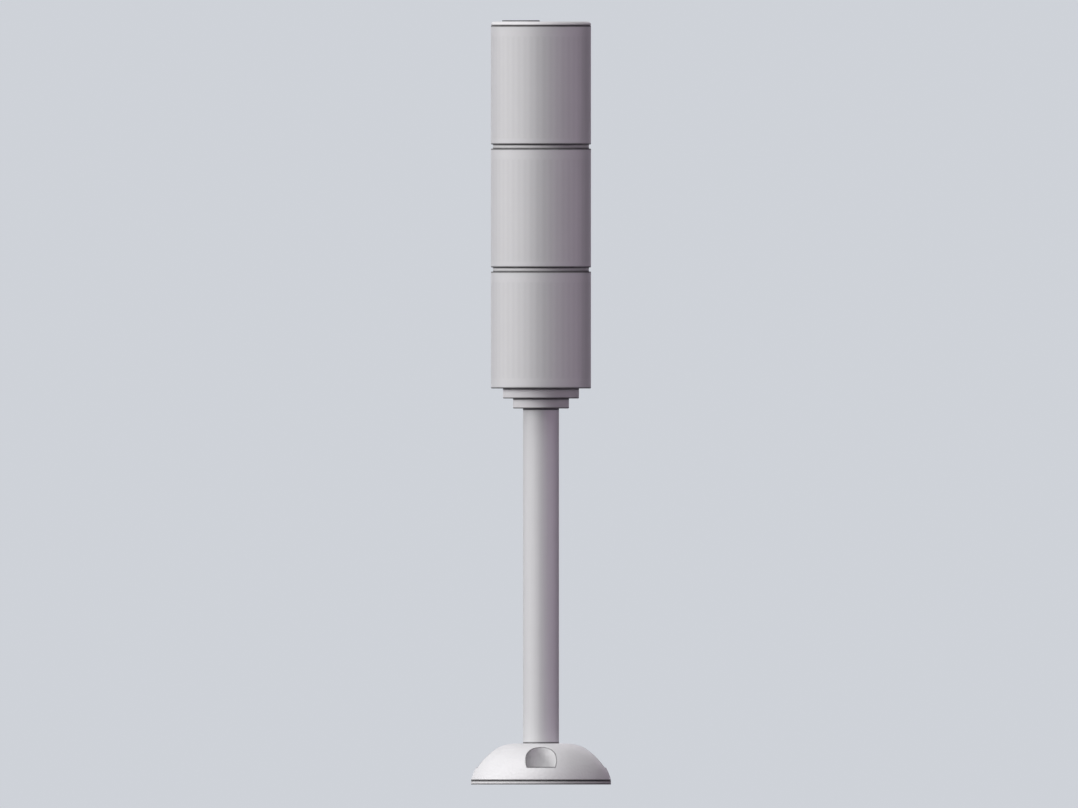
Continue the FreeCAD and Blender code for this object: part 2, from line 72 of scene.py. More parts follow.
class Signal(Link):
    """A number that varies over a surface. Python's operators on it add Math nodes."""

    def _math(self, operation: str, *operands: Operand) -> Signal:
        """Adds one Math node.

        Args:
            operation: the Math node's operation.
            operands: its inputs, in order.

        Returns:
            The node's result.
        """
        values = dict(enumerate(operands))
        node = self.graph.node("ShaderNodeMath", {"operation": operation}, values)
        return Signal(self.graph, node.outputs[0])

    def __add__(self, other: Operand) -> Signal:
        """self + other."""
        return self._math("ADD", self, other)

    __radd__ = __add__

    def __sub__(self, other: Operand) -> Signal:
        """self - other."""
        return self._math("SUBTRACT", self, other)

    def __rsub__(self, other: Operand) -> Signal:
        """other - self."""
        return self._math("SUBTRACT", other, self)

    def __mul__(self, other: Operand) -> Signal:
        """self * other."""
        return self._math("MULTIPLY", self, other)

    __rmul__ = __mul__

    def __truediv__(self, other: Operand) -> Signal:
        """self / other."""
        return self._math("DIVIDE", self, other)

    def __rtruediv__(self, other: Operand) -> Signal:
        """other / self."""
        return self._math("DIVIDE", other, self)

    def __abs__(self) -> Signal:
        """The value without its sign."""
        return self._math("ABSOLUTE", self)

    def __gt__(self, other: Operand) -> Signal:
        """1 where self is above other, else 0."""
        return self._math("GREATER_THAN", self, other)

    def __lt__(self, other: Operand) -> Signal:
        """1 where self is below other, else 0."""
        return self._math("LESS_THAN", self, other)

    def highest(self, other: Operand) -> Signal:
        """The larger of self and other."""
        return self._math("MAXIMUM", self, other)

    def lowest(self, other: Operand) -> Signal:
        """The smaller of self and other."""
        return self._math("MINIMUM", self, other)

    def within(self) -> Signal:
        """The value held between 0 and 1."""
        return self.highest(0.0).lowest(1.0)

    def wave(self) -> Signal:
        """The cosine of the value, in radians."""
        return self._math("COSINE", self)

    def angle_from(self, x: Operand) -> Signal:
        """The direction of the point (x, self), in radians."""
        return self._math("ARCTAN2", self, x)

    def rising(self, low: float, high: float) -> Signal:
        """A smooth step.

        Args:
            low: the value up to which the step is 0.
            high: the value from which it is 1.

        Returns:
            The step, from 0 to 1.
        """
        node = self.graph.node(
            "ShaderNodeMapRange",
            {"interpolation_type": "SMOOTHSTEP"},
            {"Value": self, "From Min": low, "From Max": high},
        )
        return Signal(self.graph, node.outputs["Result"])

    def near(self, level: float, reach: float) -> Signal:
        """1 up to half the reach from a level, on both sides, falling to 0 at the reach."""
        return ((1 - abs(self - level) / reach) * 2).within()


class Direction(Link):
    """A vector that varies over a surface."""

    def _vector(self, operation: str, other: Union[Direction, Sequence[float]]) -> bpy.types.Node:
        """Adds one Vector Math node of this vector and another and returns it."""
        values = {0: self, 1: other}
        return self.graph.node("ShaderNodeVectorMath", {"operation": operation}, values)

    def __mul__(self, scales: Sequence[float]) -> Direction:
        """Each part of the vector times its own scale."""
        return Direction(self.graph, self._vector("MULTIPLY", scales).outputs["Vector"])

    __rmul__ = __mul__

    def dot(self, other: Direction) -> Signal:
        """The dot product with another vector."""
        return Signal(self.graph, self._vector("DOT_PRODUCT", other).outputs["Value"])

    def parts(self) -> Tuple[Signal, Signal, Signal]:
        """Splits the vector.

        Returns:
            Its X, Y and Z.
        """
        node = self.graph.node("ShaderNodeSeparateXYZ", {}, {0: self})
        x, y, z = (Signal(self.graph, socket) for socket in node.outputs)
        return x, y, z


class Colour(Link):
    """A colour that varies over a surface."""

    def __mul__(self, amount: Operand) -> Colour:
        """The colour made lighter or darker."""
        return self.graph.tinted(self, amount)

    __rmul__ = __mul__

    def toward(self, other: Union[Colour, RGB], share: Signal) -> Colour:
        """This colour with a share, from 0 to 1, of another one."""
        return self.graph.mixed(self, other, share)


Operand = Union[Signal, float, int]


def find_socket(
    sockets: Iterable[bpy.types.NodeSocket], key: Union[int, str]
) -> bpy.types.NodeSocket:
    """Finds a socket by its place, its identifier or its name.

    Args:
        sockets: the node's inputs or outputs.
        key: the place, identifier or name.

    Returns:
        The socket.
    """
    if isinstance(key, int):
        return list(sockets)[key]
    for socket in sockets:
        if key in (socket.identifier, socket.name):
            return socket
    raise KeyError(f"the node has no socket {key!r}")


class NodeGraph:
    """A node tree, with one method that adds any node."""

    BEVEL_SAMPLES = 6
    NOISE_ROUGHNESS = 0.55
    CELL_SMOOTHNESS = 0.7

    def __init__(self, tree: bpy.types.NodeTree) -> None:
        """Takes the node tree of a material or a world and empties it."""
        self.tree = tree
        self.tree.nodes.clear()

    def node(
        self,
        kind: str,
        settings: Optional[Mapping[str, Any]] = None,
        values: Optional[Mapping[Union[int, str], Any]] = None,
    ) -> bpy.types.Node:
        """Adds a node.

        Args:
            kind: the node's type.
            settings: its own properties, set before any socket.
            values: a value or a link for each input, by place, identifier or name.

        Returns:
            The node.
        """
        made = self.tree.nodes.new(kind)
        for name, value in (settings or {}).items():
            setattr(made, name, value)
        for key, value in (values or {}).items():
            socket = find_socket(made.inputs, key)
            if isinstance(value, Link):
                self.tree.links.new(value.socket, socket)
            elif socket.type == "RGBA" and len(value) == 3:
                socket.default_value = (*value, 1.0)
            else:
                socket.default_value = value
        return made

    def put_out(self, kind: str, shader: bpy.types.Node) -> None:
        """Ends the tree in an output node of one kind, which shows the shader."""
        self.node(kind, {}, {"Surface": Link(self, shader.outputs[0])})

    def place(self) -> Direction:
        """The point on the object, in metres in the CAD's frame at rest."""
        return Direction(self, self.node("ShaderNodeTexCoord").outputs["Object"])

    def facing(self) -> Direction:
        """The surface's own direction, before any bump."""
        return Direction(self, self.node("ShaderNodeNewGeometry").outputs["Normal"])

    def ray(self, kind: str) -> Signal:
        """1 for rays of one kind, else 0."""
        return Signal(self, self.node("ShaderNodeLightPath").outputs[kind])

    def looked_at(self) -> Signal:
        """1 where a surface is seen, straight or in a mirror or through glass, else 0."""
        mirrored = self.ray("Is Glossy Ray").highest(self.ray("Is Transmission Ray"))
        return self.ray("Is Camera Ray").highest(mirrored)

    def rounded(self, radius: float) -> Direction:
        """The surface's direction with its sharp edges rounded."""
        node = self.node("ShaderNodeBevel", {"samples": self.BEVEL_SAMPLES}, {"Radius": radius})
        return Direction(self, node.outputs["Normal"])

    def grain(self, where: Direction, size: float, octaves: Octaves = Octaves.SOME) -> Signal:
        """Noise of a given size.

        Args:
            where: the point that the noise is read at.
            size: the size of its blotches, in metres.
            octaves: how much finer detail it carries.

        Returns:
            The noise, about -1 to 1 and 0 on average.
        """
        values = {
            "Vector": where,
            "Scale": 1 / size,
            "Detail": octaves.value,
            "Roughness": self.NOISE_ROUGHNESS,
        }
        node = self.node("ShaderNodeTexNoise", {"noise_dimensions": "3D"}, values)
        return (Signal(self, find_socket(node.outputs, "Fac")) - 0.5) * 2

    def cells(self, where: Direction, size: float) -> Signal:
        """Rounded cells, like the skin of an orange.

        Args:
            where: the point that the pattern is read at.
            size: the size of a cell, in metres.

        Returns:
            The distance to the nearest cell's middle, about 0 to 1.
        """
        values = {"Vector": where, "Scale": 1 / size, "Smoothness": self.CELL_SMOOTHNESS}
        node = self.node("ShaderNodeTexVoronoi", {"feature": "SMOOTH_F1"}, values)
        return Signal(self, node.outputs["Distance"])

    def tinted(self, colour: Union[Colour, RGB], amount: Operand) -> Colour:
        """A colour times a number.

        Args:
            colour: the colour.
            amount: the number, 1 to leave it as it is.

        Returns:
            The lighter or darker colour.
        """
        values = {0: colour, "Scale": amount}
        node = self.node("ShaderNodeVectorMath", {"operation": "SCALE"}, values)
        return Colour(self, node.outputs["Vector"])

    def mixed(
        self, base: Union[Colour, RGB], other: Union[Colour, RGB], share: Signal
    ) -> Colour:
        """A mix of two colours.

        Args:
            base: the colour where the share is 0.
            other: the colour mixed in.
            share: how much of it, from 0 to 1.

        Returns:
            The mixed colour.
        """
        values = {"Factor_Float": share, "A_Color": base, "B_Color": other}
        node = self.node("ShaderNodeMix", {"data_type": "RGBA"}, values)
        return Colour(self, find_socket(node.outputs, "Result_Color"))


# What finishes are made of


@dataclass(frozen=True)
class Mottle:
    """Noise that makes a finish uneven.

    Attributes:
        size: the size of its blotches, in metres.
        tone: how much it lightens and darkens the colour.
        dullness: how much it raises and lowers the roughness.
        relief: its share of the height pattern.
        octaves: how much finer detail it carries.
        squeeze: a scale for each axis, under 1 where the blotches are drawn out along it.
    """

    size: float
    tone: float = 0.0
    dullness: float = 0.0
    relief: float = 0.0
    octaves: Octaves = Octaves.SOME
    squeeze: Optional[Tuple[float, float, float]] = None

    def noise(self, graph: NodeGraph, where: Direction) -> Signal:
        """Adds the noise, about -1 to 1."""
        point = where if self.squeeze is None else where * self.squeeze
        return graph.grain(point, self.size, self.octaves)


@dataclass(frozen=True)
class Patches:
    """An amount that is more in some places than in others.

    Attributes:
        size: the size of a patch, in metres.
        middle: the amount on average.
        swing: how far it rises and falls.
        octaves: how much finer detail it carries.
    """

    size: float
    middle: float
    swing: float
    octaves: Octaves = Octaves.SOME

    def amount(self, graph: NodeGraph, where: Direction) -> Signal:
        """Adds the noise that gives the amount."""
        return graph.grain(where, self.size, self.octaves) * self.swing + self.middle


@dataclass(frozen=True)
class EdgeWear:
    """Where hands and cloths rub: on edges, in patches.

    Attributes:
        radius: how far from an edge the wear reaches.
        strength: how soon it is complete, where 4 only wears the edge itself.
        patches: how much of it there is.
    """

    radius: float
    strength: float
    patches: Patches = Patches(4 * MM, 0.6, 0.5, Octaves.MANY)

    def amount(self, graph: NodeGraph, where: Direction) -> Signal:
        """Adds the wear, from 0 to 1."""
        turn = 1 - graph.rounded(self.radius).dot(graph.facing())
        return (turn * self.strength * self.patches.amount(graph, where)).within()


@dataclass
class Coat:
    """What a finish's patterns add up to.

    Attributes:
        tone: how light the main colour is, where 1 leaves it as it is.
        roughness: the roughness.
        relief: the height pattern for the bump, about -1 to 1.
        over: other colours laid over the main one, each with its share, from 0 to 1.
    """

    tone: Operand
    roughness: Operand
    relief: Operand
    over: list[Tuple[RGB, Signal]] = field(default_factory=list)


# Finishes


@dataclass(frozen=True)
class Finish:
    """What all finishes share.

    Attributes:
        name: the material's name.
        colour: the main colour, linear.
        seams: heights of the seams that are darkened with dust and painted shade.
        seam_reach: how far from a seam the dust and painted shade show.
        dust_and_shade_amount: how much dust and painted shade there is at a seam.
        dust_and_shade_depth: how dark the dust and painted shade are, from 0 to 1.
        dust_dullness: what the dust adds to the roughness.
        roughness: the roughness before its noise.
        metallic: 0 for plastic, rubber and paint, 1 for bare metal.
        mottles: the noises that make the finish uneven.
        relief_height: how high the height pattern stands, in metres.
        rounding: the radius that sharp edges are shaded with, in metres.
        fixed: the shader's sockets whose values are the same all over.
    """

    name: str
    colour: RGB
    seams: Tuple[float, ...] = ()
    seam_reach: float = 0.55 * MM
    dust_and_shade_amount: Patches = Patches(5 * MM, 0.92, 0.12)
    dust_and_shade_depth: float = 0.9
    dust_dullness: float = 0.3
    roughness: float = 0.5
    metallic: float = 0.0
    mottles: Tuple[Mottle, ...] = ()
    relief_height: float = 0.01 * MM
    rounding: float = 0.15 * MM
    fixed: Tuple[Tuple[str, Any], ...] = (("IOR", 1.5),)

    def material(self) -> bpy.types.Material:
        """Makes the finish's material.

        Returns:
            The material, ready to put on a piece.
        """
        made = bpy.data.materials.new(self.name)
        made.use_nodes = True
        graph = NodeGraph(made.node_tree)
        where = graph.place()
        coat = self.coat(graph, where)
        colour, roughness = graph.tinted(self.colour, coat.tone), coat.roughness
        for paint, share in coat.over:
            colour = colour.toward(paint, share)
        # Seams darken with dust and with painted shade where parts meet.
        if self.seams:
            dust_and_shade = self.dust_and_shade(graph, where)
            colour = colour * (1 - dust_and_shade * self.dust_and_shade_depth)
            roughness = roughness + dust_and_shade * self.dust_dullness
        bump = graph.node(
            "ShaderNodeBump",
            {},
            {
                "Height": coat.relief,
                "Distance": self.relief_height,
                "Normal": graph.rounded(self.rounding),
            },
        )
        shader = graph.node(
            "ShaderNodeBsdfPrincipled",
            {},
            {
                "Base Color": colour,
                "Roughness": roughness,
                "Metallic": self.metallic,
                "Normal": Direction(graph, bump.outputs["Normal"]),
                **dict(self.fixed),
            },
        )
        graph.put_out("ShaderNodeOutputMaterial", shader)
        return made

    def coat(self, graph: NodeGraph, where: Direction) -> Coat:
        """Adds up the mottles. A finish with patterns of its own adds them to these.

        Args:
            graph: the material's node tree.
            where: the point on the object.

        Returns:
            What goes to the shader.
        """
        noises = [(mottle, mottle.noise(graph, where)) for mottle in self.mottles]
        tones = [noise * mottle.tone for mottle, noise in noises if mottle.tone]
        dullnesses = [noise * mottle.dullness for mottle, noise in noises if mottle.dullness]
        reliefs = [noise * mottle.relief for mottle, noise in noises if mottle.relief]
        return Coat(sum(tones, 1.0), sum(dullnesses, self.roughness), sum(reliefs))

    def dust_and_shade(self, graph: NodeGraph, where: Direction) -> Signal:
        """Finds the darkening at the seams: dust, and painted shade where parts meet.

        Args:
            graph: the material's node tree.
            where: the point on the object.

        Returns:
            The dust and painted shade, from 0 to 1.
        """
        height = where.parts()[2]
        bands = [height.near(level, self.seam_reach) for level in self.seams]
        return reduce(Signal.highest, bands) * self.dust_and_shade_amount.amount(graph, where)


@dataclass(frozen=True)
class OpalLens(Finish):
    """Satin opal polycarbonate. The flutes inside the wall show through as faint upright stripes.

    Its noises are clouds in the opal, haze up close, an uneven sheen and the moulded skin.

    Attributes:
        flutes: how many flutes run round the bore.
        flutes_low: where they start.
        flutes_high: where they end.
        flute_blur: how softly the stripes start and end.
        stripe_tone: how much lighter and darker the stripes are.
        stripe_dullness: how much rougher and smoother they are.
        seat_tone: how much paler the plain seats are than the fluted wall.
    """

    roughness: float = 0.4
    mottles: Tuple[Mottle, ...] = (
        Mottle(14 * MM, tone=0.02, squeeze=(1.0, 1.0, 0.45)),
        Mottle(1.4 * MM, tone=0.008, octaves=Octaves.MANY),
        Mottle(6 * MM, dullness=0.05, octaves=Octaves.MANY, squeeze=(1.0, 1.0, 0.3)),
        Mottle(0.5 * MM, relief=0.6),
    )
    relief_height: float = 0.004 * MM
    fixed: Tuple[Tuple[str, Any], ...] = (
        ("IOR", 1.585),
        ("Subsurface Weight", 0.15),
        ("Subsurface Radius", (1.0, 0.95, 0.9)),
        ("Subsurface Scale", 0.9 * MM),
    )
    flutes: int = 48
    flutes_low: float = 0.0
    flutes_high: float = 0.0
    flute_blur: float = 0.8 * MM
    stripe_tone: float = 0.022
    stripe_dullness: float = 0.02
    seat_tone: float = 0.04

    def coat(self, graph: NodeGraph, where: Direction) -> Coat:
        """Adds the stripes and the denser seats.

        Args:
            graph: the material's node tree.
            where: the point on the object.

        Returns:
            What goes to the shader.
        """
        coat = super().coat(graph, where)
        x, y, z = where.parts()
        blur = self.flute_blur
        above_start = z.rising(self.flutes_low - blur, self.flutes_low + blur)
        below_end = 1 - z.rising(self.flutes_high - blur, self.flutes_high + blur)
        fluted = above_start * below_end
        stripes = (y.angle_from(x) * self.flutes).wave() * fluted
        coat.tone += (1 - fluted) * self.seat_tone + stripes * self.stripe_tone
        coat.roughness += stripes * self.stripe_dullness
        coat.relief += stripes
        return coat


@dataclass(frozen=True)
class MouldedPlastic(Finish):
    """Housing plastic with a spark-eroded skin and flow clouds.

    Attributes:
        rubbed: where it is rubbed.
        rubbed_tone: how much paler it is there.
        rubbed_polish: how much smoother it is there.
    """

    roughness: float = 0.56
    mottles: Tuple[Mottle, ...] = (
        Mottle(0.35 * MM, tone=0.02, relief=1.0),
        Mottle(11 * MM, tone=0.02, dullness=0.03),
    )
    relief_height: float = 0.02 * MM
    rounding: float = 0.25 * MM
    rubbed: EdgeWear = EdgeWear(0.5 * MM, 4.0)
    rubbed_tone: float = 0.05
    rubbed_polish: float = 0.14

    def coat(self, graph: NodeGraph, where: Direction) -> Coat:
        """Adds the rubbed edges.

        Args:
            graph: the material's node tree.
            where: the point on the object.

        Returns:
            What goes to the shader.
        """
        coat = super().coat(graph, where)
        wear = self.rubbed.amount(graph, where)
        coat.tone += wear * self.rubbed_tone
        coat.roughness -= wear * self.rubbed_polish
        return coat


@dataclass(frozen=True)
class MarkedPlastic(MouldedPlastic):
    """Housing plastic whose raised mark is picked out in ink.

    Attributes:
        ink: the ink's colour.
        inked_above: the height from which the mark is inked.
        ink_blur: how soft the ink's lower edge is.
    """

    ink: RGB = (0.1, 0.1, 0.1)
    inked_above: float = 0.0
    ink_blur: float = 0.03 * MM

    def coat(self, graph: NodeGraph, where: Direction) -> Coat:
        """Inks what stands above the plain face.

        Args:
            graph: the material's node tree.
            where: the point on the object.

        Returns:
            What goes to the shader.
        """
        coat = super().coat(graph, where)
        low, high = self.inked_above - self.ink_blur, self.inked_above + self.ink_blur
        coat.over.append((self.ink, where.parts()[2].rising(low, high)))
        return coat


@dataclass(frozen=True)
class PowderCoat(Finish):
    """Baked powder paint on a casting, a little cloudy and speckled.

    Attributes:
        peel_size: the size of a bump in its orange-peel skin.
        rubbed: where it is rubbed.
        rubbed_depth: how much darker it is there.
        pocket_circle: the radius of the circle that the four screw pockets stand on.
        pocket_radius: the radius of a pocket.
        pocket_floor: the height of a pocket's floor.
        pocket_margin: how far past a pocket's walls and floor still counts as the pocket.
        pocket_shade: painted shade, how much darker it is in a pocket.
    """

    roughness: float = 0.46
    mottles: Tuple[Mottle, ...] = (
        Mottle(9 * MM, tone=0.022, dullness=0.05),
        Mottle(0.5 * MM, tone=0.014, dullness=0.03, relief=0.2, octaves=Octaves.MANY),
    )
    relief_height: float = 0.11 * MM
    rounding: float = 0.25 * MM
    peel_size: float = 1.6 * MM
    rubbed: EdgeWear = EdgeWear(0.9 * MM, 24.0)
    rubbed_depth: float = 0.8
    pocket_circle: float = 0.0
    pocket_radius: float = 0.0
    pocket_floor: float = 0.0
    pocket_margin: float = 0.1 * MM
    pocket_shade: Patches = Patches(9 * MM, 0.16, 0.04)

    def in_pockets(self, where: Direction) -> Signal:
        """Finds the screw pockets, where shade is painted in.

        Args:
            where: the point on the object.

        Returns:
            1 on a pocket's walls and floor, else 0.
        """
        x, y, z = where.parts()
        x, y = abs(x), abs(y)
        along, across = x.highest(y) - self.pocket_circle, x.lowest(y)
        reach = self.pocket_radius + self.pocket_margin
        inside = along * along + across * across < reach * reach
        return inside * (z > self.pocket_floor - self.pocket_margin)

    def coat(self, graph: NodeGraph, where: Direction) -> Coat:
        """Adds the peel, the painted shade in the pockets and the rubbed edges.

        Args:
            graph: the material's node tree.
            where: the point on the object.

        Returns:
            What goes to the shader.
        """
        coat = super().coat(graph, where)
        # Painted shade inside the screw pockets.
        coat.tone -= self.in_pockets(where) * self.pocket_shade.amount(graph, where)
        coat.tone -= self.rubbed.amount(graph, where) * self.rubbed_depth
        coat.relief += graph.cells(where, self.peel_size)
        return coat


@dataclass(frozen=True)
class DrawnAluminium(Finish):
    """Satin anodised tube, with drawn lines, broader streaks and a haze from handling."""

    metallic: float = 0.16
    mottles: Tuple[Mottle, ...] = (
        Mottle(
            0.3 * MM,
            tone=0.05,
            dullness=0.06,
            relief=1.0,
            octaves=Octaves.MANY,
            squeeze=(1.0, 1.0, 0.012),
        ),
        Mottle(1.6 * MM, tone=0.035, relief=0.5, squeeze=(1.0, 1.0, 0.02)),
        Mottle(18 * MM, tone=0.02, dullness=0.04),
    )
    relief_height: float = 0.006 * MM
    rounding: float = 0.2 * MM
    fixed: Tuple[Tuple[str, Any], ...] = (("Anisotropic", 0.4),)


@dataclass(frozen=True)
class SealRubber(Finish):
    """Soft matt rubber with a fine skin and a dusty bloom."""

    roughness: float = 0.78
    mottles: Tuple[Mottle, ...] = (
        Mottle(0.4 * MM, tone=0.02, relief=1.0),
        Mottle(7 * MM, tone=0.04, dullness=0.06, octaves=Octaves.MANY),
    )
    relief_height: float = 0.03 * MM
    rounding: float = 0.2 * MM
    fixed: Tuple[Tuple[str, Any], ...] = (("IOR", 1.5), ("Specular IOR Level", 0.35))


@dataclass(frozen=True)
class CircuitBoard(Finish):
    """Solder resist over copper tracks and a glass weave.

    Attributes:
        track_colour: the resist where a track runs under it.
        track_pitch: the distance between tracks.
        tracks_across: how many of them fit in one cell of their pattern.
        track_core: how far from a cell's edge a track is whole, as a share of the cell.
        track_edge: how far from it the track has ended.
        disorder: how uneven the pattern is, from 0 to 1.
    """

    roughness: float = 0.38
    mottles: Tuple[Mottle, ...] = (Mottle(0.6 * MM, tone=0.04, dullness=0.05),)
    relief_height: float = 0.03 * MM
    track_colour: RGB = (0.5, 0.5, 0.5)
    track_pitch: float = 1.6 * MM
    tracks_across: int = 3
    track_core: float = 0.05
    track_edge: float = 0.08
    disorder: float = 0.35

    def coat(self, graph: NodeGraph, where: Direction) -> Coat:
        """Adds the tracks.

        Args:
            graph: the material's node tree.
            where: the point on the object.

        Returns:
            What goes to the shader.
        """
        coat = super().coat(graph, where)
        scale = 1 / (self.tracks_across * self.track_pitch)
        values = {"Vector": where, "Scale": scale, "Randomness": self.disorder}
        node = graph.node("ShaderNodeTexVoronoi", {"feature": "DISTANCE_TO_EDGE"}, values)
        from_edge = Signal(graph, node.outputs["Distance"])
        tracks = 1 - from_edge.rising(self.track_core, self.track_edge)
        coat.over.append((self.track_colour, tracks))
        coat.relief += tracks
        return coat


@dataclass(frozen=True)
class PlatedMetal(Finish):
    """Plated contact or fastener metal, with fine turning marks and slight tarnish.

    Attributes:
        tarnish: how much paler and darker its patches are.
        tarnish_size: the size of a patch.
        tarnish_polish: how much smoother a pale patch is.
    """

    roughness: float = 0.3
    metallic: float = 1.0
    mottles: Tuple[Mottle, ...] = (
        Mottle(0.12 * MM, tone=0.04, dullness=0.05, relief=1.0, squeeze=(0.2, 0.2, 1.0)),
    )
    relief_height: float = 0.004 * MM
    fixed: Tuple[Tuple[str, Any], ...] = ()
    tarnish: float = 0.08
    tarnish_size: float = 2.5 * MM
    tarnish_polish: float = 0.05

    def coat(self, graph: NodeGraph, where: Direction) -> Coat:
        """Adds the tarnish.

        Args:
            graph: the material's node tree.
            where: the point on the object.

        Returns:
            What goes to the shader.
        """
        coat = super().coat(graph, where)
        pale = graph.grain(where, self.tarnish_size, Octaves.MANY)
        coat.tone += pale * self.tarnish
        coat.roughness -= pale * self.tarnish_polish
        return coat


@dataclass(frozen=True)
class EmitterPackage(Finish):
    """A pale speckled ceramic package with a phosphor window in its face.

    Attributes:
        phosphor: the window's colour.
        window_near: the distance from the axis at which the window's floor starts.
        window_far: the distance from the axis at which it ends.
        window_square: how squarely the window faces away from the axis, as a cosine.
        window_dullness: how much rougher it is than the ceramic.
    """

    roughness: float = 0.4
    mottles: Tuple[Mottle, ...] = (Mottle(0.3 * MM, tone=0.03, dullness=0.06, relief=1.0),)
    phosphor: RGB = (0.85, 0.62, 0.12)
    window_near: float = 8.85 * MM
    window_far: float = 9.15 * MM
    window_square: float = 0.9
    window_dullness: float = 0.15

    def coat(self, graph: NodeGraph, where: Direction) -> Coat:
        """Adds the window.

        Args:
            graph: the material's node tree.
            where: the point on the object.

        Returns:
            What goes to the shader.
        """
        coat = super().coat(graph, where)
        x, y, _ = where.parts()
        out = abs(x).highest(abs(y))
        faces_out = where.dot(graph.facing()) / out > self.window_square
        window = (out > self.window_near) * (out < self.window_far) * faces_out
        coat.over.append((self.phosphor, window))
        coat.roughness += window * self.window_dullness
        return coat


class Palette:
    """The light's colours, linear. Its outside is one family of pale neutral greys."""

    LENS: RGB = (0.49, 0.492, 0.495)
    HOUSING: RGB = (0.57, 0.57, 0.572)
    # The neck is the housing plastic made paler: painted light against the shade of the drum
    # above.
    NECK_WITH_PAINTED_LIGHT: RGB = (0.76, 0.76, 0.762)
    # The cap is the housing plastic made paler: painted light, as where the top light falls on it.
    CAP_WITH_PAINTED_LIGHT: RGB = (0.64, 0.64, 0.642)
    CASTING: RGB = (0.68, 0.68, 0.684)
    TUBE: RGB = (0.5, 0.502, 0.506)
    GASKET: RGB = (0.66, 0.66, 0.66)
    SEAL: RGB = (0.16, 0.16, 0.165)
    INK: RGB = (0.025, 0.025, 0.028)
    INSULATOR: RGB = (0.35, 0.35, 0.36)
    LIGHT_BOARD: RGB = (0.74, 0.74, 0.72)
    LIGHT_TRACK: RGB = (0.66, 0.66, 0.63)
    DRIVER_BOARD: RGB = (0.035, 0.16, 0.075)
    DRIVER_TRACK: RGB = (0.06, 0.24, 0.11)
    GOLD: RGB = (0.94, 0.72, 0.34)
    ZINC: RGB = (0.6, 0.61, 0.63)
    BLACK_OXIDE: RGB = (0.09, 0.09, 0.095)
    CERAMIC: RGB = (0.76, 0.76, 0.74)


class SharedFinish(Enum):
    """The finishes that pieces of more than one sub-assembly or tier have."""

    LOCK_RING = MouldedPlastic("moulded_lock_ring", Palette.HOUSING)
    INSULATOR = MouldedPlastic("moulded_insulator", Palette.INSULATOR)
    FACE_SEAL = SealRubber("face_seal_rubber", Palette.SEAL)
    CONTACT_GOLD = PlatedMetal("contact_gold", Palette.GOLD, roughness=0.22, tarnish=0.05)
    LIGHT_BOARD = CircuitBoard(
        "light_board", Palette.LIGHT_BOARD, track_colour=Palette.LIGHT_TRACK
    )
    DRIVER_BOARD = CircuitBoard(
        "driver_board",
        Palette.DRIVER_BOARD,
        track_colour=Palette.DRIVER_TRACK,
        track_pitch=1.1 * MM,
    )
    EMITTER = EmitterPackage("emitter_package", Palette.CERAMIC)


class Paintbox:
    """Makes each finish once and puts it on pieces."""

    def __init__(self, nodes: Mapping[str, bpy.types.Object]) -> None:
        """Starts with no materials made.

        Args:
            nodes: the CAD pieces by name.
        """
        self.nodes = nodes
        self._made: dict[Finish, bpy.types.Material] = {}
        self._dressed: set[str] = set()

    def dress(self, finish: Union[Finish, SharedFinish], *pieces: str) -> None:
        """Puts a finish on pieces.

        Args:
            finish: the finish.
            pieces: the pieces' names.
        """
        plain = finish.value if isinstance(finish, SharedFinish) else finish
        if plain not in self._made:
            self._made[plain] = plain.material()
        for piece in pieces:
            mesh = self.nodes[piece].data
            mesh.materials.clear()
            mesh.materials.append(self._made[plain])
            self._dressed.add(piece)
            LOG.info("%s has the finish %s", piece, plain.name)

    def undressed(self) -> list[str]:
        """The pieces that have no finish yet."""
        return sorted(set(self.nodes) - self._dressed)


def bottom(piece: str) -> float:
    """The height of a CAD piece's lowest point."""
    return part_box(piece)[0].z


def top(piece: str) -> float:
    """The height of a CAD piece's highest point."""
    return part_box(piece)[1].z


# Sub-assemblies


@dataclass
class Foot:
    """The gasket, the cast dome and the nut that clamps the pole in it.

    Attributes:
        seam_reach: how far dust and painted shade show from the seam under the dome.
        pocket_circle: the radius of the circle that the four screw pockets stand on.
        pocket_radius: the radius of a pocket.
        pocket_floor: the height of a pocket's floor.
    """

    seam_reach: float = 0.7 * MM
    pocket_circle: float = 28.75 * MM
    pocket_radius: float = 7.6 * MM
    pocket_floor: float = 8.5 * MM

    def dress(self, paint: Paintbox) -> None:
        """Gives the foot its finishes.

        Args:
            paint: where finishes are kept.
        """
        seam = top("base_gasket")
        # Dust and painted shade at the gasket's foot and at the seam under the dome.
        rubber = SealRubber("rubber_gasket", Palette.GASKET, (0.0, seam), self.seam_reach)
        casting = PowderCoat(
            "powder_coated_casting",
            Palette.CASTING,
            (seam,),
            self.seam_reach,
            pocket_circle=self.pocket_circle,
            pocket_radius=self.pocket_radius,
            pocket_floor=self.pocket_floor,
        )
        zinc = PlatedMetal("zinc_plate", Palette.ZINC, roughness=0.34)
        paint.dress(rubber, "base_gasket")
        paint.dress(casting, "base_dome")
        paint.dress(zinc, "lock_nut", "lock_washer")


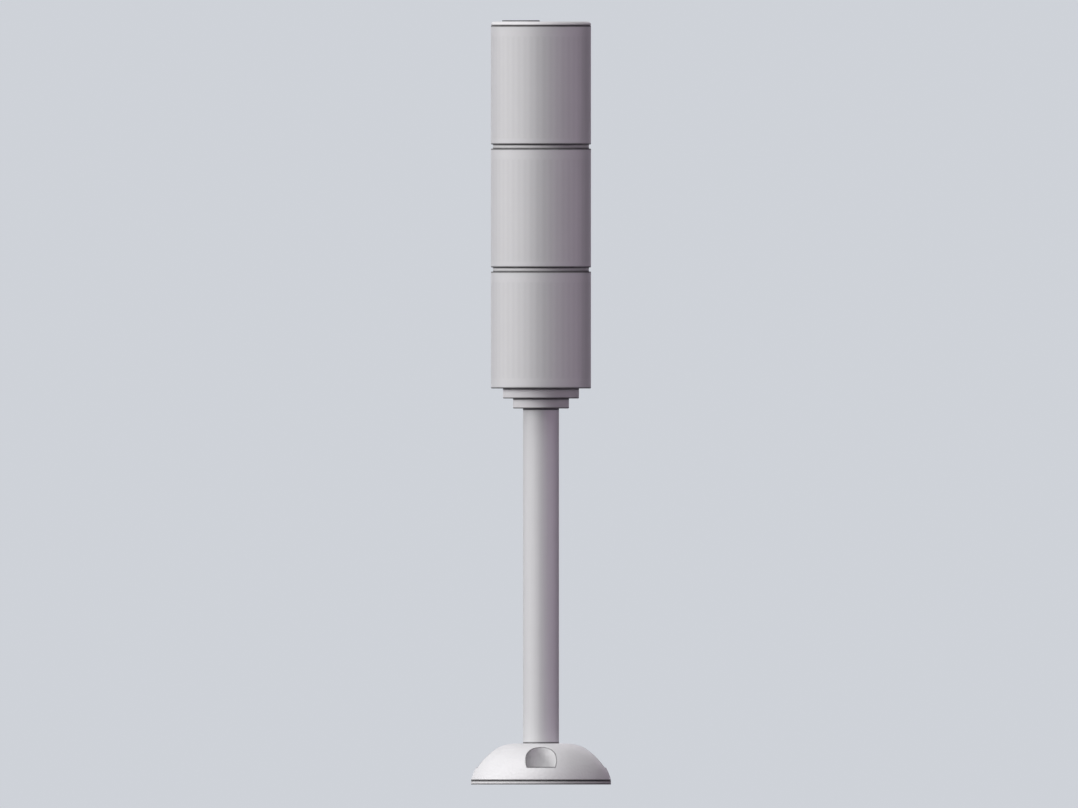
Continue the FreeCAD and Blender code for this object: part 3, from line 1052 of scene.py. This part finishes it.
@dataclass
class Stem:
    """The pole, the neck on it and the first socket with its contacts.

    Attributes:
        pole_seam_reach: how far dust and painted shade show on the pole from its ends.
        neck_seam_reach: how far dust and painted shade show on the neck from its steps.
    """

    pole_seam_reach: float = 0.9 * MM
    neck_seam_reach: float = 0.75 * MM

    def dress(self, paint: Paintbox) -> None:
        """Gives the stem its finishes.

        Args:
            paint: where finishes are kept.
        """
        neck_low, neck_step, neck_high = bottom("neck_housing"), top("pole"), top("neck_housing")
        # The pole's ends and the neck's steps get dust and painted shade where the parts meet.
        pole_seams = (top("base_dome"), neck_low)
        neck_seams = (neck_low, neck_step, neck_high)
        tube = DrawnAluminium(
            "satin_anodised_tube", Palette.TUBE, pole_seams, self.pole_seam_reach
        )
        # The neck's paler colour is painted light that offsets the drum's shade.
        neck = MouldedPlastic("moulded_neck_painted_light", Palette.NECK_WITH_PAINTED_LIGHT, neck_seams, self.neck_seam_reach)
        screw = PlatedMetal("black_oxide", Palette.BLACK_OXIDE, roughness=0.42, tarnish=0.2)
        paint.dress(tube, "pole")
        paint.dress(neck, "neck_housing")
        paint.dress(screw, "grub_screw")
        paint.dress(SharedFinish.DRIVER_BOARD, "neck_contact_plate")
        paint.dress(SharedFinish.CONTACT_GOLD, "neck_contact_pads")


@dataclass
class Tier:
    """One drum and everything in it.

    Attributes:
        name: which drum it is, as its pieces' names start.
        flutes: how many flutes its lens has.
        seam_reach: how far dust and painted shade show on its lens from the seams above and below.
        carrier_floor: the thickness of the carrier's floor, which shows between two drums.
    """

    name: str
    flutes: int = 48
    seam_reach: float = 0.9 * MM
    carrier_floor: float = 2.0 * MM

    def piece(self, kind: str) -> str:
        """The name of one of the drum's pieces."""
        return f"{self.name}_{kind}"

    def dress(self, paint: Paintbox) -> None:
        """Gives the drum's pieces their finishes.

        Args:
            paint: where finishes are kept.
        """
        lens, carrier, ring = (self.piece(kind) for kind in ("lens", "carrier", "lock_ring"))
        opal = OpalLens(
            f"opal_{self.name}_lens",
            Palette.LENS,
            (bottom(lens), top(lens)),
            self.seam_reach,
            flutes=self.flutes,
            flutes_low=top(carrier),
            flutes_high=bottom(ring),
        )
        # Dust and painted shade on the carrier's ring that shows between two drums.
        gap = (bottom(self.piece("driver_board")) - self.carrier_floor, bottom(lens))
        moulding = MouldedPlastic(f"moulded_{self.name}_carrier", Palette.HOUSING, gap)
        paint.dress(opal, lens)
        paint.dress(moulding, carrier)
        for finish, kinds in (
            (SharedFinish.LOCK_RING, ("lock_ring",)),
            (SharedFinish.FACE_SEAL, ("seal",)),
            (SharedFinish.INSULATOR, ("contact_block",)),
            (SharedFinish.CONTACT_GOLD, ("contact_pins", "contact_pads")),
            (SharedFinish.DRIVER_BOARD, ("driver_board", "contact_plate")),
            (SharedFinish.LIGHT_BOARD, ("led_boards",)),
            (SharedFinish.EMITTER, ("leds",)),
        ):
            paint.dress(finish, *(self.piece(kind) for kind in kinds))


@dataclass
class Cap:
    """The lid with its raised arrow, and the seal under it.

    Attributes:
        ink_depth: how far down from its face the arrow is inked.
    """

    ink_depth: float = 0.56 * MM

    def dress(self, paint: Paintbox) -> None:
        """Gives the cap its finishes.

        Args:
            paint: where finishes are kept.
        """
        # Dust and painted shade where the cap meets the upper lens.
        marked = MarkedPlastic(
            "moulded_cap_painted_light",
            Palette.CAP_WITH_PAINTED_LIGHT,
            (top("upper_lens"),),
            ink=Palette.INK,
            inked_above=top("top_cap") - self.ink_depth,
        )
        paint.dress(marked, "top_cap")
        paint.dress(SharedFinish.FACE_SEAL, "cap_seal")


# Studio


@dataclass(frozen=True)
class Lamp:
    """A broad soft lamp, far away.

    Attributes:
        name: the lamp's name.
        azimuth: the side it shines from, in degrees from the front, positive to the right.
        elevation: its height above the horizon, in degrees.
        level: how much of a surface's own colour it shows where it falls square on.
        spread: how wide it looks from the object, in degrees.
        mirrored: whether glossy surfaces show it.
        colour: its colour.
    """

    name: str
    azimuth: float
    elevation: float
    level: float
    spread: float
    mirrored: bool = False
    colour: RGB = (1.0, 1.0, 1.0)

    def towards(self) -> Vector:
        """Finds the direction that the lamp is in.

        Returns:
            The direction, one metre long.
        """
        side, height = math.radians(self.azimuth), math.radians(self.elevation)
        level = math.cos(height)
        return Vector((math.sin(side) * level, -math.cos(side) * level, math.sin(height)))

    def hang(self) -> None:
        """Adds the lamp to the scene."""
        data = bpy.data.lights.new(self.name, "SUN")
        data.energy = self.level * math.pi
        data.angle = math.radians(self.spread)
        data.color = self.colour
        lamp = bpy.data.objects.new(self.name, data)
        lamp.rotation_mode = "QUATERNION"
        lamp.rotation_quaternion = self.towards().to_track_quat("Z", "Y")
        lamp.location = self.towards()
        lamp.visible_glossy = self.mirrored
        bpy.context.scene.collection.objects.link(lamp)
        LOG.info("lamp %s at level %.2f", self.name, self.level)


@dataclass(frozen=True)
class Card:
    """A pale card far away that only shows as gloss.

    Attributes:
        azimuth: the side that it stands on, in degrees from the front, positive to the right.
        core: how far from its middle it is at full strength, in degrees.
        reach: how far from its middle it has faded out, in degrees.
        height: how far above the horizon it has faded out, in degrees.
        colour: its colour, where 1 is a white surface in full light.
        full_height: how far up it is at full strength, as a share of its height.
    """

    azimuth: float
    core: float
    reach: float
    height: float
    colour: RGB
    full_height: float = 1 / 3

    def hold_up(self, room: Colour, towards: Direction) -> Colour:
        """Puts the card in the mirrored room.

        Args:
            room: the colour of the room.
            towards: the direction that it is looked at in.

        Returns:
            The colour of the room with the card in it.
        """
        to_right, to_back, up = towards.parts()
        side = math.radians(self.azimuth)
        nearness = to_right * math.sin(side) - to_back * math.cos(side)
        edge, core = (math.cos(math.radians(turn)) for turn in (self.reach, self.core))
        highest = math.sin(math.radians(self.height))
        too_high = up.rising(highest * self.full_height, highest)
        return room.toward(self.colour, nearness.rising(edge, core) * (1 - too_high))


@dataclass
class Studio:
    """A plain pale floor and backdrop, soft lamps and the camera.

    Attributes:
        backdrop: the colour that shows behind the light, linear.
        floor_colour: the floor's own colour as it is seen, linear.
        floor_bounce: the floor's own colour as it lights the object, linear.
        ambient: the light that comes from all round.
        gloss_middle: how bright the room mirrors in front and behind, as a share of the backdrop.
        gloss_fall: how much brighter it mirrors at the far left, and darker at the far right.
        floor_size: the floor's side.
        picture_width: the width of the view.
        view_height: the height of the view's middle.
        view_side: how far the view's middle is off the axis.
        camera_distance: how far the camera stands from the axis.
        cards: what glossy surfaces show: a low card on the right, a dim one behind and a tall
            one on the left.
        lamps: a low key on the left, a weak fill on the right, one above and one behind.
    """

    backdrop: RGB = (0.62, 0.645, 0.69)
    floor_colour: RGB = (0.6, 0.615, 0.64)
    floor_bounce: RGB = (0.09, 0.062, 0.095)
    ambient: RGB = (0.052, 0.034, 0.056)
    gloss_middle: float = 0.5
    gloss_fall: float = 0.42
    floor_size: float = 40.0
    picture_width: float = 0.539
    view_height: float = 0.19025
    view_side: float = -0.001
    camera_distance: float = 2.0
    cards: Tuple[Card, ...] = (
        Card(64.0, 28.0, 56.0, 24.0, (3.1, 2.35, 3.2)),
        Card(150.0, 20.0, 50.0, 40.0, (0.18, 0.11, 0.185)),
        Card(-66.0, 28.0, 60.0, 75.0, (3.8, 3.8, 3.8)),
    )
    lamps: Tuple[Lamp, ...] = (
        Lamp("left_key", -70.0, 5.0, 0.92, 32.0),
        Lamp("right_fill", 34.0, 4.0, 0.13, 30.0),
        Lamp("top_light", -36.0, 58.0, 0.72, 50.0, mirrored=True),
        Lamp("back_light", 165.0, 22.0, 0.6, 30.0, colour=(1.0, 0.96, 1.02)),
    )

    def build(self) -> None:
        """Puts up the floor, backdrop, lamps and camera, and sets the view transform."""
        self._lay_floor()
        self._hang_backdrop()
        for lamp in self.lamps:
            lamp.hang()
        self._set_camera()
        bpy.context.scene.view_settings.view_transform = "Standard"

    def _lay_floor(self) -> None:
        """Lays a plain matt floor at z = 0."""
        half = self.floor_size / 2
        mesh = bpy.data.meshes.new("floor")
        corners = [(-half, -half, 0.0), (half, -half, 0.0), (half, half, 0.0), (-half, half, 0.0)]
        mesh.from_pydata(corners, [], [(0, 1, 2, 3)])
        material = bpy.data.materials.new("studio_floor")
        material.use_nodes = True
        graph = NodeGraph(material.node_tree)
        colour = graph.mixed(self.floor_bounce, self.floor_colour, graph.looked_at())
        shader = graph.node("ShaderNodeBsdfDiffuse", {}, {"Color": colour})
        graph.put_out("ShaderNodeOutputMaterial", shader)
        mesh.materials.append(material)
        floor = bpy.data.objects.new("floor", mesh)
        bpy.context.scene.collection.objects.link(floor)
        LOG.info("floor, %.0f m wide", self.floor_size)

    def _hang_backdrop(self) -> None:
        """Makes the world: the backdrop where it is seen or mirrored, ambient light elsewhere."""
        world = bpy.data.worlds.new("studio")
        world.use_nodes = True
        bpy.context.scene.world = world
        graph = NodeGraph(world.node_tree)
        towards = Direction(graph, graph.node("ShaderNodeTexCoord").outputs["Generated"])
        to_right = towards.parts()[0]
        room = graph.tinted(self.backdrop, self.gloss_middle - to_right * self.gloss_fall)
        for card in self.cards:
            room = card.hold_up(room, towards)
        colour = graph.mixed(self.ambient, room, graph.looked_at())
        colour = colour.toward(self.backdrop, graph.ray("Is Camera Ray"))
        shader = graph.node("ShaderNodeBackground", {}, {"Color": colour, "Strength": 1.0})
        graph.put_out("ShaderNodeOutputWorld", shader)

    def _set_camera(self) -> None:
        """Stands the camera square in front, with parallel sight lines."""
        data = bpy.data.cameras.new("camera")
        data.type = "ORTHO"
        data.ortho_scale = self.picture_width
        camera = bpy.data.objects.new("camera", data)
        camera.location = (self.view_side, -self.camera_distance, self.view_height)
        camera.rotation_euler = (math.radians(90.0), 0.0, 0.0)
        bpy.context.scene.collection.objects.link(camera)
        bpy.context.scene.camera = camera


def main() -> None:
    """Loads the frame, dresses every sub-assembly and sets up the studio."""
    logging.basicConfig(level=logging.INFO, format="%(name)s: %(message)s")
    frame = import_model()
    paint = Paintbox(frame["nodes"])
    for part in (Foot(), Stem(), Tier("lower"), Tier("middle"), Tier("upper"), Cap()):
        part.dress(paint)
    if paint.undressed():
        LOG.warning("no finish yet: %s", ", ".join(paint.undressed()))
    Studio().build()


if __name__ == "__main__":
    main()
